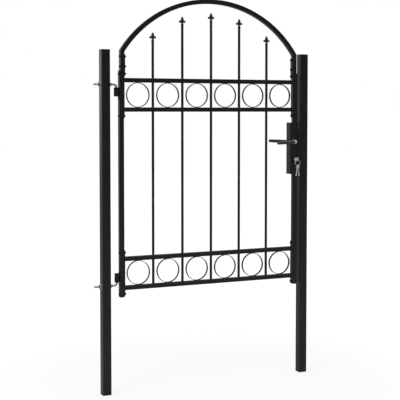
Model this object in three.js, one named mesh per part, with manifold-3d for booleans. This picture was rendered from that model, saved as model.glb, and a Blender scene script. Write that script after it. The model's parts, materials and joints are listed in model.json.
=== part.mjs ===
// Arched steel garden gate: one leaf between two square posts, hung on two hook bolts,
// with a lever latch and a key-operated dead bolt in a lock box.
//
// Millimetres, +Z up. While the pieces are being placed, X runs from the outer face of the
// hinge post to the outer face of the lock post, Y = 0 is the middle plane of the gate with
// the front at -Y, and Z = 0 is the foot of the posts. The last lines move the finished gate
// so that its origin is the middle of its base.
import * as THREE from "three";
import { mergeVertices } from "three/addons/utils/BufferGeometryUtils.js";
import Module from "manifold-3d";

const wasm = await Module();
wasm.setup();

// ---------------------------------------------------------------- driving dimensions

const GAP = 0.3; // between pieces that rest on each other
const CUT_OVER = 5; // how far a cutting tool runs past the face it leaves by

const GATE_WIDTH = 1056; // over the outer faces of the two posts
const POST_SIZE = 40;
const POST_WALL = 2;
const POST_CORNER = 3;
const POST_ABOVE_HOOK = 154; // upper hook bolt to the top of the cap
const CAP_PLATE = 3;
const CAP_EDGE = 1.2;
const CAP_PLUG = 14; // how far the cap reaches into the post

const HINGE_GAP = 46; // hinge post to leaf
const LOCK_GAP = 12.7; // leaf to lock post
const LEAF_FOOT = 436; // height of the stile ends above the post feet
const STILE_TOP = 1457.5;
const STILE_SIZE = 22;
const STILE_WALL = 1.5;
const STILE_CORNER = 2;
const STILE_PLUG_EDGE = 4;
const STILE_PAST_RAIL = 32.5; // both ends of the stiles run this far past the panels

const CROWN_HEIGHT = 1792; // top of the arch
const ARCH_LEG = 90; // straight part of the arch, from the stile to the kink
const ARCH_TUBE = 20;
const ARCH_WALL = 1.5;
const ARCH_SEGMENTS = 48;

const RAIL_SIZE = 20;
const RAIL_WALL = 1.5;
const RAIL_CORNER = 2;
const STRIP_THICKNESS = 3; // flat bar on the panel ends and over the arch joints
const STRIP_WIDTH = 20;
const STRIP_END = 2.5; // how far a strip stops short of the stile's end
const STRIP_CORNER = 5;

const RING_DIAMETER = 111;
const RING_WIDTH = 12;
const RING_THICKNESS = 2.2;
const RING_SEGMENTS = 36;

const BAR_COUNT = 5;
const BAR_DIAMETER = 12;
const BAR_SEGMENTS = 12;
const MIDDLE_TIP_DROP = 41.2; // spear tip to arch, straight up
const SECOND_TIP_DROP = 42.5;
const OUTER_TIP_DROP = 49.5;
const SPEAR_HEIGHT = 22; // tip to its narrow foot
const SPEAR_DIAMETER = 15.6;
const ARM_WIDTH = 33; // over the balls of the cross arm
const ARM_BALL = 11.6; // diameter of the balls
const ARM_ROD = 8.6;
const NECK_HEIGHT = 13;
const NECK_DIAMETER = 10.6;
const COLLAR_HEIGHT = 8;
const COLLAR_DIAMETER = 13.4;
const COLLAR_EDGE = 1.8;

const BOLT_DIAMETER = 6;
const BOLT_SEGMENTS = 10;
const BOLT_HEAD_DIAMETER = 11;
const BOLT_HEAD_HEIGHT = 3.5;
const BOLT_NUT_FLATS = 10;
const BOLT_NUT_HEIGHT = 5;
const BOLT_NUT_DOME = 3;
const BOLT_FROM_RAIL = 18;
const LOW_ARCH_BOLT = 18; // above the ends of the arch legs
const HIGH_ARCH_BOLT = 63;

const HOOK_DIAMETER = 10;
const HOOK_SEGMENTS = 16;
const HOOK_STUD = 33; // threaded end past the outer face of the post
const HOOK_BEND = 14; // radius of its bend
const HOOK_BEND_STEPS = 7;
const HOOK_CHAMFER = 1.2;
const UPPER_HOOK_DROP = 61.5; // below the top of the stile
const LOWER_HOOK_RISE = 56; // above the foot of the stile
const NUT_FLATS = 16;
const NUT_HEIGHT = 10.5;
const NUT_FLANGE_DIAMETER = 22;
const NUT_FLANGE_HEIGHT = 2.5;
const BARREL_DIAMETER = 22;
const BARREL_LENGTH = 40;
const BARREL_SEGMENTS = 24;
const GUSSET_LENGTH = 17;
const GUSSET_THICKNESS = 7;

const LOCK_BOX_WIDTH = 44;
const LOCK_BOX_DEPTH = 36;
const LOCK_BOX_WALL = 2;
const LOCK_BOX_DROP = 51.8; // below the upper panel
const SPINDLE_DROP = 93; // below the top of the lock box
const SPINDLE_TO_CYLINDER = 83;
const CYLINDER_RISE = 72; // above the foot of the lock box
const SPINDLE_SQUARE = 8;
const SPINDLE_HOLE = 14;
const LEVER_LENGTH = 106; // spindle to tip
const LEVER_DROOP = 5; // how far the front grip's tip hangs below the spindle
const LEVER_STANDOFF = 24.5; // lock box face to the middle of the grip
const LEVER_NECK = 17; // neck diameter
const LEVER_BEND = 10.5;
const LEVER_BEND_STEPS = 5;
const LEVER_NECK_TAPER = 0.82; // thinner across where it bends
const LEVER_SEGMENTS = 16;
const GRIP_THICKNESS = 11;
const GRIP_HEIGHT = 16;
const GRIP_END = [[0.4, 1], [0.94, 0.9], [0.985, 0.7], [1, 0.35]]; // share along, scale
const LATCH_THICKNESS = 10;
const LATCH_HEIGHT = 16;
const LATCH_THROW = 9.5;
const LATCH_TAIL = 20;
const LATCH_TO_SPINDLE = 11; // from its lower edge to the spindle hole
const DEAD_BOLT_THICKNESS = 9;
const DEAD_BOLT_HEIGHT = 24;
const DEAD_BOLT_LENGTH = 30;
const DEAD_BOLT_TO_CYLINDER = 6.5;
const CYLINDER_LENGTH = 60;
const CYLINDER_DIAMETER = 17;
const CYLINDER_HEIGHT = 33; // over its round head and its leg
const CYLINDER_LEG = 10;
const PLUG_DIAMETER = 13;
const PLUG_LENGTH = 31;
const PLUG_PROUD = 1;

const KEY_THICKNESS = 2.2;
const KEY_BLADE = 8;
const KEY_LENGTH = 50; // hanging hole to the tip
const KEY_BOW_LENGTH = 21;
const KEY_BOW_WIDTH = 20;
const KEY_RIM = 2.3; // bow left round the outer side of the hanging hole
const KEY_HOLE = 6.4;
const KEY_STAND = 6; // bow to the face of the plug
const KEY_RING_DIAMETER = 28; // middle of the wire
const KEY_RING_WIRE = 1.8;
const KEY_BITES = 3;
const SPARE_KEY_SPLAY = THREE.MathUtils.degToRad(8);

const KEEP_RISE = 26; // above the latch bolt
const KEEP_FOOT = 89.5; // below the cylinder
const KEEP_SHEET = 2;
const KEEP_GAP = 3; // leaf edge to keep
const KEEP_LIP = 3.5; // how far the stop lip reaches in front of the lock box
const KEEP_FACE_GAP = 0.5; // stop lip to the face of the lock box
const KEEP_CLEARANCE = 1.5; // round a bolt in the keep

// ---------------------------------------------------------------- derived places

const SIDES = [-1, 1];
const postCentres = [POST_SIZE / 2, GATE_WIDTH - POST_SIZE / 2];
const lockPostFace = GATE_WIDTH - POST_SIZE;
const leafLeft = POST_SIZE + HINGE_GAP;
const leafRight = lockPostFace - LOCK_GAP;
const leafCentre = (leafLeft + leafRight) / 2;
const leafHalf = (leafRight - leafLeft) / 2; // leaf pieces are built about its centre line

const stripOuter = leafHalf - STILE_SIZE - GAP;
const stripInner = stripOuter - STRIP_THICKNESS;
const legInner = stripInner; // the arch legs stand flush with the panel strips
const legOuter = legInner + ARCH_TUBE;
const strapOuter = legInner - GAP;
const strapInner = strapOuter - STRIP_THICKNESS;

const archFoot = STILE_TOP + GAP;
const kinkHeight = archFoot + ARCH_LEG;
const archRise = CROWN_HEIGHT - kinkHeight;
const archRadius = (legOuter ** 2 + archRise ** 2) / (2 * archRise);
const archCentreHeight = CROWN_HEIGHT - archRadius;

const railGap = RING_DIAMETER + 2 * GAP;
const panelHeight = 2 * RAIL_SIZE + railGap;
const upperPanelTop = STILE_TOP - STILE_PAST_RAIL;
const lowerPanelTop = LEAF_FOOT + STILE_PAST_RAIL + panelHeight;
const bay = (2 * stripInner - BAR_COUNT * BAR_DIAMETER) / (BAR_COUNT + 1);
const barOffset = (i) => (i - (BAR_COUNT - 1) / 2) * (bay + BAR_DIAMETER);

const boltHeights = (panelTop) => [
  panelTop - panelHeight - BOLT_FROM_RAIL,
  panelTop + BOLT_FROM_RAIL,
];
const lowerPanelBolts = boltHeights(lowerPanelTop);
const upperPanelBolts = boltHeights(upperPanelTop);
const archBolts = [archFoot + LOW_ARCH_BOLT, archFoot + HIGH_ARCH_BOLT];

const hingeAxis = leafLeft - GAP - BARREL_DIAMETER / 2;
const upperHookHeight = STILE_TOP - UPPER_HOOK_DROP;
const lowerHookHeight = LEAF_FOOT + LOWER_HOOK_RISE;
const postHeight = upperHookHeight + POST_ABOVE_HOOK;

const lockAxis = leafRight - LOCK_BOX_WIDTH / 2; // lever and cylinder, middle of the box
const lockFace = LOCK_BOX_DEPTH / 2;
const lockBoxTop = upperPanelTop - panelHeight - LOCK_BOX_DROP;
const spindleHeight = lockBoxTop - SPINDLE_DROP;
const cylinderHeight = spindleHeight - SPINDLE_TO_CYLINDER;
const lockBoxFoot = cylinderHeight - CYLINDER_RISE;
const latchMiddle = spindleHeight + SPINDLE_HOLE / 2 + LATCH_TO_SPINDLE + LATCH_HEIGHT / 2;
const deadBoltMiddle =
  cylinderHeight + CYLINDER_DIAMETER / 2 + DEAD_BOLT_TO_CYLINDER + DEAD_BOLT_HEIGHT / 2;
const keepTop = latchMiddle + LATCH_HEIGHT / 2 + KEEP_RISE;
const keepFoot = cylinderHeight - KEEP_FOOT;

const plugFace = -CYLINDER_LENGTH / 2 - PLUG_PROUD;
const keyBowMiddle = KEY_BOW_LENGTH / 2 - KEY_RIM - KEY_HOLE / 2; // from the hanging hole
const keyHoleY = plugFace - KEY_STAND - KEY_BOW_LENGTH / 2 - keyBowMiddle;
const wireInHole = KEY_HOLE / 2 - KEY_RING_WIRE / 2 - GAP; // hole's middle to the hung wire
const ringMiddle = cylinderHeight - wireInHole - KEY_RING_DIAMETER / 2;
const spareHole = ringMiddle - KEY_RING_DIAMETER / 2 - wireInHole;

// ---------------------------------------------------------------- solids

// A closed geometry as a manifold solid.
function solidOf(geometry) {
  const bare = geometry.clone();
  bare.deleteAttribute("normal");
  bare.deleteAttribute("uv");
  const merged = mergeVertices(bare, 1e-4);
  const mesh = new wasm.Mesh({
    numProp: 3,
    vertProperties: new Float32Array(merged.attributes.position.array),
    triVerts: new Uint32Array(merged.index.array),
  });
  return new wasm.Manifold(mesh);
}

// A manifold solid as a flat-shaded geometry.
function geometryOf(solid) {
  const mesh = solid.getMesh();
  const indexed = new THREE.BufferGeometry();
  indexed.setAttribute("position", new THREE.BufferAttribute(mesh.vertProperties, 3));
  indexed.setIndex(new THREE.BufferAttribute(mesh.triVerts, 1));
  const geometry = indexed.toNonIndexed();
  geometry.computeVertexNormals();
  return geometry;
}

function join(...geometries) {
  return geometryOf(geometries.map(solidOf).reduce((sum, next) => sum.add(next)));
}

function cut(body, ...tools) {
  return geometryOf(tools.map(solidOf).reduce((rest, tool) => rest.subtract(tool), solidOf(body)));
}

function block(x, y, z) {
  const size = [x, y, z].map(([low, high]) => high - low);
  const middle = [x, y, z].map(([low, high]) => (high + low) / 2);
  return new THREE.BoxGeometry(...size).translate(...middle);
}

const span = (middle, size) => [middle - size / 2, middle + size / 2];

// Where a profile's x, y and extrusion directions go for an extrusion along each axis.
const BASES = {
  x: [new THREE.Vector3(0, 1, 0), new THREE.Vector3(0, 0, 1), new THREE.Vector3(1, 0, 0)],
  y: [new THREE.Vector3(1, 0, 0), new THREE.Vector3(0, 0, 1), new THREE.Vector3(0, -1, 0)],
  z: [new THREE.Vector3(1, 0, 0), new THREE.Vector3(0, 1, 0), new THREE.Vector3(0, 0, 1)],
};

// A profile swept from low to high along an axis. Its own axes are YZ for an extrusion
// along X, XZ along Y and XY along Z.
function extrude(shape, axis, [low, high], arcSegments = 4) {
  const options = { depth: high - low, bevelEnabled: false, curveSegments: arcSegments / 2 };
  const turn = new THREE.Matrix4().makeBasis(...BASES[axis]);
  const start = axis === "y" ? high : low;
  const shift = { x: [start, 0, 0], y: [0, start, 0], z: [0, 0, start] }[axis];
  return new THREE.ExtrudeGeometry(shape, options).applyMatrix4(turn).translate(...shift);
}

// A round bar along an axis, with its ends at low and high and its middle line at (a, b):
// YZ for a bar along X, XZ along Y and XY along Z.
function rod(radius, axis, [low, high], [a, b], segments = 16, endRadius = radius) {
  const bar = new THREE.CylinderGeometry(endRadius, radius, high - low, segments);
  const middle = (low + high) / 2;
  if (axis === "x") return bar.rotateZ(-Math.PI / 2).translate(middle, a, b);
  if (axis === "y") return bar.translate(a, middle, b);
  return bar.rotateX(Math.PI / 2).translate(a, b, middle);
}

function hexPrism(flats, [low, high], [a, b]) {
  return rod(flats / Math.sqrt(3), "x", [low, high], [a, b], 6);
}

function roundedRectangle(width, height, radius) {
  const [x, y] = [width / 2, height / 2];
  const shape = new THREE.Shape();
  shape.moveTo(-x + radius, -y);
  shape.lineTo(x - radius, -y);
  shape.absarc(x - radius, -y + radius, radius, -Math.PI / 2, 0, false);
  shape.lineTo(x, y - radius);
  shape.absarc(x - radius, y - radius, radius, 0, Math.PI / 2, false);
  shape.lineTo(-x + radius, y);
  shape.absarc(-x + radius, y - radius, radius, Math.PI / 2, Math.PI, false);
  shape.lineTo(-x, -y + radius);
  shape.absarc(-x + radius, -y + radius, radius, Math.PI, 1.5 * Math.PI, false);
  return shape;
}

function squareTube(size, wall, corner) {
  const shape = roundedRectangle(size, size, corner);
  const bore = size - 2 * wall;
  shape.holes.push(roundedRectangle(bore, bore, Math.max(corner - wall, wall / 2)));
  return shape;
}

// A skin over rings of points that all have the same count, closed at both ends.
function loft(rings) {
  const count = rings[0].length;
  const points = rings.flat();
  const index = [];
  for (let r = 0; r + 1 < rings.length; r++) {
    for (let i = 0; i < count; i++) {
      const [a, b] = [r * count + i, r * count + ((i + 1) % count)];
      index.push(a, b, b + count, a, b + count, a + count);
    }
  }
  const last = (rings.length - 1) * count;
  for (let i = 1; i + 1 < count; i++) {
    index.push(0, i + 1, i, last, last + i, last + i + 1);
  }
  const geometry = new THREE.BufferGeometry().setFromPoints(points);
  geometry.setIndex(index);
  return geometry;
}

// ---------------------------------------------------------------- materials

const FINISHES = {
  powderCoat: { color: 0x1b1c1d, roughness: 0.5, metalness: 0.15 },
  plastic: { color: 0x151617, roughness: 0.6, metalness: 0 },
  zinc: { color: 0x8f9193, roughness: 0.38, metalness: 0.85 },
  satinMetal: { color: 0xa9aaab, roughness: 0.32, metalness: 0.9 },
  blackZinc: { color: 0x202122, roughness: 0.4, metalness: 0.5 },
};

function piece(name, finish, geometry) {
  const mesh = new THREE.Mesh(geometry, new THREE.MeshStandardMaterial(FINISHES[finish]));
  mesh.name = name;
  return mesh;
}

// ---------------------------------------------------------------- posts

function post(x, ...holes) {
  const tube = extrude(
    squareTube(POST_SIZE, POST_WALL, POST_CORNER),
    "z",
    [0, postHeight - CAP_PLATE - GAP],
  ).translate(x, 0, 0);
  return holes.length ? cut(tube, ...holes) : tube;
}

function postCap(x) {
  const edge = 2 * CAP_EDGE;
  const plate = new THREE.ExtrudeGeometry(
    roundedRectangle(POST_SIZE - edge, POST_SIZE - edge, POST_CORNER - CAP_EDGE),
    { depth: CAP_PLATE - CAP_EDGE, bevelSize: CAP_EDGE, bevelThickness: CAP_EDGE,
      bevelSegments: 2, curveSegments: 2 },
  ).translate(x, 0, postHeight - CAP_PLATE);
  const room = block([x - POST_SIZE, x + POST_SIZE], [-POST_SIZE, POST_SIZE],
    [postHeight - CAP_PLATE - CUT_OVER, postHeight - CAP_PLATE]);
  const plugSize = POST_SIZE - 2 * POST_WALL - 2 * GAP;
  const plug = extrude(roundedRectangle(plugSize, plugSize, POST_WALL), "z",
    [postHeight - CAP_PLATE - CAP_PLUG, postHeight - CAP_EDGE - GAP]).translate(x, 0, 0);
  return join(cut(plate, room), plug);
}

// A hook bolt: a threaded bar through the post that bends up or down into the hinge pin.
function hookBolt(height, direction) {
  const radius = HOOK_DIAMETER / 2;
  const bendStart = hingeAxis - HOOK_BEND;
  const pinLength = BARREL_LENGTH - CUT_OVER;
  const ringAt = (x, z, angle, size) => {
    const travel = new THREE.Vector3(Math.cos(angle), 0, direction * Math.sin(angle));
    const first = new THREE.Vector3(0, 1, 0);
    const second = new THREE.Vector3().crossVectors(travel, first);
    return Array.from({ length: HOOK_SEGMENTS }, (_, i) => {
      const turn = (2 * Math.PI * i) / HOOK_SEGMENTS;
      return new THREE.Vector3(x, 0, height + direction * z)
        .addScaledVector(first, size * Math.cos(turn))
        .addScaledVector(second, size * Math.sin(turn));
    });
  };
  const rings = [
    ringAt(-HOOK_STUD, 0, 0, radius - HOOK_CHAMFER),
    ringAt(HOOK_CHAMFER - HOOK_STUD, 0, 0, radius),
  ];
  for (let i = 0; i <= HOOK_BEND_STEPS; i++) {
    const angle = (Math.PI / 2) * (i / HOOK_BEND_STEPS);
    const along = HOOK_BEND * Math.sin(angle);
    const rise = HOOK_BEND * (1 - Math.cos(angle));
    rings.push(ringAt(bendStart + along, rise, angle, radius));
  }
  const pinEnd = HOOK_BEND + pinLength;
  rings.push(ringAt(hingeAxis, pinEnd - HOOK_CHAMFER, Math.PI / 2, radius));
  rings.push(ringAt(hingeAxis, pinEnd, Math.PI / 2, radius - HOOK_CHAMFER));
  return loft(rings);
}

// A flanged nut on a hook bolt. Its flange lies on a post face; away is +1 towards +X.
function flangeNut(face, away, height) {
  const ends = (from, to) => [face + away * from, face + away * to].sort((a, b) => a - b);
  const flange = rod(
    away > 0 ? NUT_FLANGE_DIAMETER / 2 : NUT_FLATS / 2, "x",
    ends(GAP, GAP + NUT_FLANGE_HEIGHT), [0, height], 18,
    away > 0 ? NUT_FLATS / 2 : NUT_FLANGE_DIAMETER / 2,
  );
  const hex = hexPrism(NUT_FLATS, ends(GAP + NUT_FLANGE_HEIGHT / 2, NUT_HEIGHT), [0, height]);
  const bore = rod(HOOK_DIAMETER / 2 + GAP, "x", ends(-CUT_OVER, NUT_HEIGHT + CUT_OVER),
    [0, height], HOOK_SEGMENTS);
  return cut(join(flange, hex), bore);
}

// The keep on the lock post. Its front plate reaches over the lock box as the leaf's stop, its
// web has a window for each bolt, and its guard behind them holds the bolts shut.
function keep() {
  const web = leafRight + KEEP_GAP;
  const post = lockPostFace - GAP;
  const front = -lockFace - KEEP_FACE_GAP;
  const guard = LATCH_THICKNESS / 2 + KEEP_CLEARANCE;
  const height = [keepFoot, keepTop];
  const plates = [
    block([leafRight - KEEP_LIP, post], [front - KEEP_SHEET, front], height),
    block([web, post], [guard, guard + KEEP_SHEET], height),
  ];
  const edges = [
    keepFoot,
    ...span(deadBoltMiddle, DEAD_BOLT_HEIGHT + 2 * KEEP_CLEARANCE),
    ...span(latchMiddle, LATCH_HEIGHT + 2 * KEEP_CLEARANCE),
    keepTop,
  ];
  const webDepth = [front - KEEP_SHEET / 2, guard + KEEP_SHEET / 2];
  for (let i = 0; i < edges.length; i += 2) {
    plates.push(block([web, web + KEEP_SHEET], webDepth, [edges[i], edges[i + 1]]));
  }
  return join(...plates);
}

function hookHole(height) {
  return rod(HOOK_DIAMETER / 2 + GAP, "x", [-CUT_OVER, POST_SIZE + CUT_OVER], [0, height],
    HOOK_SEGMENTS);
}

function posts() {
  const group = new THREE.Group();
  const hooks = [["upper", upperHookHeight, -1], ["lower", lowerHookHeight, 1]];
  const holes = hooks.map(([, height]) => hookHole(height));
  group.add(piece("hinge_post", "powderCoat", post(postCentres[0], ...holes)));
  group.add(piece("lock_post", "powderCoat", post(postCentres[1])));
  group.add(piece("hinge_post_cap", "plastic", postCap(postCentres[0])));
  group.add(piece("lock_post_cap", "plastic", postCap(postCentres[1])));
  for (const [name, height, direction] of hooks) {
    group.add(piece(`${name}_hook_bolt`, "zinc", hookBolt(height, direction)));
    group.add(piece(`${name}_outer_nut`, "zinc", flangeNut(0, -1, height)));
    group.add(piece(`${name}_inner_nut`, "zinc", flangeNut(POST_SIZE, 1, height)));
  }
  group.add(piece("keep", "powderCoat", keep()));
  return group;
}

// ---------------------------------------------------------------- leaf frame

function boltHole(height) {
  return rod(BOLT_DIAMETER / 2 + GAP, "x", span(0, 2 * leafHalf + 2 * CUT_OVER), [0, height],
    BOLT_SEGMENTS);
}

// A stile tube. A stile that stands free at its lower end is closed there by a rounded plug.
function stile(side, [low, high], plugged, bolts) {
  const x = side * (leafHalf - STILE_SIZE / 2);
  const tube = extrude(squareTube(STILE_SIZE, STILE_WALL, STILE_CORNER), "z",
    [plugged ? low + STILE_PLUG_EDGE : low, high]).translate(x, 0, 0);
  const parts = [tube];
  if (plugged) {
    const flat = STILE_SIZE - 2 * STILE_PLUG_EDGE;
    parts.push(new THREE.ExtrudeGeometry(
      roundedRectangle(flat, flat, STILE_CORNER),
      { depth: GAP, bevelSize: STILE_PLUG_EDGE, bevelThickness: STILE_PLUG_EDGE,
        bevelSegments: 3, curveSegments: 1 },
    ).translate(x, 0, low + STILE_PLUG_EDGE));
  }
  return cut(join(...parts), ...bolts.map(boltHole));
}

// Front outline of the arch, inset from its outer and inner edges.
function archOutline(inset, foot) {
  const outerRadius = archRadius - inset;
  const innerRadius = archRadius - ARCH_TUBE + inset;
  const outerLeg = legOuter - inset;
  const innerLeg = legInner + inset;
  const above = Math.sign(kinkHeight - archCentreHeight);
  const outerStart = above * Math.acos(outerLeg / outerRadius);
  const innerStart = above * Math.acos(innerLeg / innerRadius);
  const shape = new THREE.Shape();
  shape.moveTo(innerLeg, foot);
  shape.lineTo(outerLeg, foot);
  shape.absarc(0, archCentreHeight, outerRadius, outerStart, Math.PI - outerStart, false);
  shape.lineTo(-outerLeg, foot);
  shape.lineTo(-innerLeg, foot);
  shape.absarc(0, archCentreHeight, innerRadius, Math.PI - innerStart, innerStart, true);
  return shape;
}

function arch() {
  const bore = ARCH_TUBE - 2 * ARCH_WALL;
  const outside = extrude(archOutline(0, archFoot), "y", span(0, ARCH_TUBE), ARCH_SEGMENTS);
  const inside = extrude(archOutline(ARCH_WALL, archFoot - CUT_OVER), "y", span(0, bore),
    ARCH_SEGMENTS);
  return cut(outside, inside, ...archBolts.map(boltHole));
}

// A flat bar with rounded corners, standing on edge across the gate.
function flatBar([xLow, xHigh], [zLow, zHigh]) {
  const outline = roundedRectangle(STRIP_WIDTH, zHigh - zLow, STRIP_CORNER);
  return extrude(outline, "x", [xLow, xHigh]).translate(0, 0, (zLow + zHigh) / 2);
}

const sideways = (side, inner, outer) => [side * inner, side * outer].sort((a, b) => a - b);

function archStrap(side) {
  const margin = STRIP_WIDTH / 2;
  const strap = flatBar(sideways(side, strapInner, strapOuter),
    [upperPanelBolts[1] - margin, archBolts[1] + margin]);
  return cut(strap, ...[upperPanelBolts[1], ...archBolts].map(boltHole));
}

// Two rails between end strips, drilled for the bars. Bars stop inside a closed lower rail.
function panelFrame(top, boltAt, barsPassThrough) {
  const bottom = top - panelHeight;
  const overhang = STILE_PAST_RAIL - STRIP_END;
  const railTube = squareTube(RAIL_SIZE, RAIL_WALL, RAIL_CORNER);
  const rails = [top - RAIL_SIZE / 2, bottom + RAIL_SIZE / 2].map((height) =>
    extrude(railTube, "x", span(0, 2 * stripInner + STRIP_THICKNESS)).translate(0, 0, height));
  const strips = SIDES.map((side) =>
    flatBar(sideways(side, stripInner, stripOuter), [bottom - overhang, top + overhang]));
  const holeFoot = barsPassThrough ? bottom - CUT_OVER : bottom + RAIL_SIZE / 2;
  const holes = Array.from({ length: BAR_COUNT }, (_, i) =>
    rod(BAR_DIAMETER / 2 + GAP, "z", [holeFoot, top + CUT_OVER], [barOffset(i), 0], BAR_SEGMENTS));
  return cut(join(...strips, ...rails), ...holes, ...boltAt.map(boltHole));
}

// A dome-headed bolt through the side of the leaf with its domed nut on the inner side.
function frameBolt(side, height, outerFace, innerFace) {
  const across = (from, to) => sideways(side, from, to);
  const at = [0, height];
  const headFoot = outerFace + GAP;
  const headTop = headFoot + BOLT_HEAD_HEIGHT;
  const nutFace = innerFace - GAP;
  const [wide, narrow] = [BOLT_HEAD_DIAMETER / 2, BOLT_HEAD_DIAMETER / 4];
  const head = side > 0
    ? rod(wide, "x", across(headFoot, headTop), at, BOLT_SEGMENTS, narrow)
    : rod(narrow, "x", across(headFoot, headTop), at, BOLT_SEGMENTS, wide);
  const shank = rod(BOLT_DIAMETER / 2, "x",
    across(nutFace - GAP, headFoot + GAP), at, BOLT_SEGMENTS);
  const nutEnd = nutFace - BOLT_NUT_HEIGHT;
  const nut = hexPrism(BOLT_NUT_FLATS, across(nutEnd, nutFace), at);
  const [foot, top] = [BOLT_NUT_FLATS / 2 - GAP, BOLT_DIAMETER / 4];
  const domeEnds = across(nutEnd - BOLT_NUT_DOME, nutEnd + GAP);
  const dome = side > 0
    ? rod(top, "x", domeEnds, at, BOLT_SEGMENTS, foot)
    : rod(foot, "x", domeEnds, at, BOLT_SEGMENTS, top);
  return join(shank, head, nut, dome);
}

function ringPositions() {
  const bayEnds = [-stripInner];
  for (let i = 0; i < BAR_COUNT; i++) {
    bayEnds.push(barOffset(i) - BAR_DIAMETER / 2, barOffset(i) + BAR_DIAMETER / 2);
  }
  bayEnds.push(stripInner);
  return Array.from({ length: BAR_COUNT + 1 }, (_, i) => (bayEnds[2 * i] + bayEnds[2 * i + 1]) / 2);
}

function ring(x, panelTop) {
  const outline = new THREE.Shape().absarc(0, 0, RING_DIAMETER / 2, 0, 2 * Math.PI, false);
  outline.holes.push(new THREE.Path()
    .absarc(0, 0, RING_DIAMETER / 2 - RING_THICKNESS, 0, 2 * Math.PI, true));
  return extrude(outline, "y", span(0, RING_WIDTH), RING_SEGMENTS)
    .translate(x, 0, panelTop - panelHeight / 2);
}

// ---------------------------------------------------------------- bars

function revolved(profile, segments) {
  const outline = profile.map(([radius, height]) => new THREE.Vector2(radius, height));
  return new THREE.LatheGeometry(outline, segments);
}

// A cast spear head: a bud on a neck and a collar, crossed by an arm with a ball at each end.
// Its tip is at the origin.
function spearHead(barRadius) {
  const bud = SPEAR_DIAMETER / 2;
  const neck = NECK_DIAMETER / 2;
  const collar = COLLAR_DIAMETER / 2;
  const neckFoot = -SPEAR_HEIGHT - NECK_HEIGHT;
  const collarFoot = neckFoot - COLLAR_HEIGHT;
  const stem = revolved([
    [0, collarFoot - GAP],
    [barRadius, collarFoot - GAP],
    [collar, collarFoot + COLLAR_EDGE],
    [collar, neckFoot - COLLAR_EDGE],
    [neck, neckFoot],
    [neck, -SPEAR_HEIGHT],
    [0.92 * bud, -0.88 * SPEAR_HEIGHT],
    [bud, -0.74 * SPEAR_HEIGHT],
    [0.8 * bud, -0.42 * SPEAR_HEIGHT],
    [0.42 * bud, -0.12 * SPEAR_HEIGHT],
    [0, 0],
  ], BAR_SEGMENTS).rotateX(Math.PI / 2);
  const ball = ARM_BALL / 2;
  const ballMiddle = ARM_WIDTH / 2 - ball;
  const half = [
    [ARM_ROD / 2, ballMiddle - 0.8 * ball],
    [ball, ballMiddle - 0.2 * ball],
    [0.9 * ball, ballMiddle + 0.5 * ball],
    [0.5 * ball, ballMiddle + 0.9 * ball],
    [0, ARM_WIDTH / 2],
  ];
  const mirrored = half.map(([radius, along]) => [radius, -along]).reverse();
  const arm = revolved([...mirrored, ...half], BAR_SEGMENTS - 2)
    .rotateZ(-Math.PI / 2).translate(0, 0, -SPEAR_HEIGHT - ball / 4);
  return join(stem, arm);
}

function bar(i) {
  const x = barOffset(i);
  const drops = [OUTER_TIP_DROP, SECOND_TIP_DROP, MIDDLE_TIP_DROP];
  const fromEnd = Math.min(i, BAR_COUNT - 1 - i);
  const archInside = archCentreHeight + Math.sqrt((archRadius - ARCH_TUBE) ** 2 - x ** 2);
  const tip = archInside - drops[Math.min(fromEnd, drops.length - 1)];
  const foot = lowerPanelTop - panelHeight + RAIL_SIZE / 2 + GAP;
  const neck = tip - SPEAR_HEIGHT - NECK_HEIGHT - COLLAR_HEIGHT;
  const radius = BAR_DIAMETER / 2;
  const shaft = rod(radius, "z", [foot, neck], [x, 0], BAR_SEGMENTS);
  return join(shaft, spearHead(radius).translate(x, 0, tip));
}

// ---------------------------------------------------------------- hinges

function barrel(height, direction) {
  const x = hingeAxis - leafCentre;
  const near = height + direction * (HOOK_BEND + GAP);
  const far = near + direction * BARREL_LENGTH;
  const ends = [near, far].sort((a, b) => a - b);
  const tube = cut(
    rod(BARREL_DIAMETER / 2, "z", ends, [x, 0], BARREL_SEGMENTS),
    rod(HOOK_DIAMETER / 2 + GAP, "z", [ends[0] - CUT_OVER, ends[1] + CUT_OVER], [x, 0],
      HOOK_SEGMENTS),
  );
  const wallMiddle = x + (BARREL_DIAMETER + HOOK_DIAMETER) / 4;
  const stileFace = -leafHalf - GAP;
  const gusset = new THREE.Shape([
    new THREE.Vector2(wallMiddle, far - direction * GUSSET_THICKNESS),
    new THREE.Vector2(stileFace, far - direction * GUSSET_THICKNESS),
    new THREE.Vector2(stileFace, far + direction * GUSSET_LENGTH),
    new THREE.Vector2(stileFace - GAP, far + direction * GUSSET_LENGTH),
    new THREE.Vector2(wallMiddle, far + direction * GAP),
  ]);
  return join(tube, extrude(gusset, "y", span(0, GUSSET_THICKNESS)));
}

// ---------------------------------------------------------------- lock

// The outline of a profile cylinder: a round head over a straight leg with a round foot.
function cylinderOutline(clearance) {
  const radius = CYLINDER_DIAMETER / 2 + clearance;
  const leg = CYLINDER_LEG / 2 + clearance;
  const legAngle = Math.asin(leg / radius);
  const footMiddle = -(CYLINDER_HEIGHT - CYLINDER_DIAMETER / 2 - CYLINDER_LEG / 2);
  const shape = new THREE.Shape();
  shape.absarc(0, 0, radius, -Math.PI / 2 + legAngle, 1.5 * Math.PI - legAngle, false);
  shape.absarc(0, footMiddle, leg, Math.PI, 2 * Math.PI, false);
  return shape;
}

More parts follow.
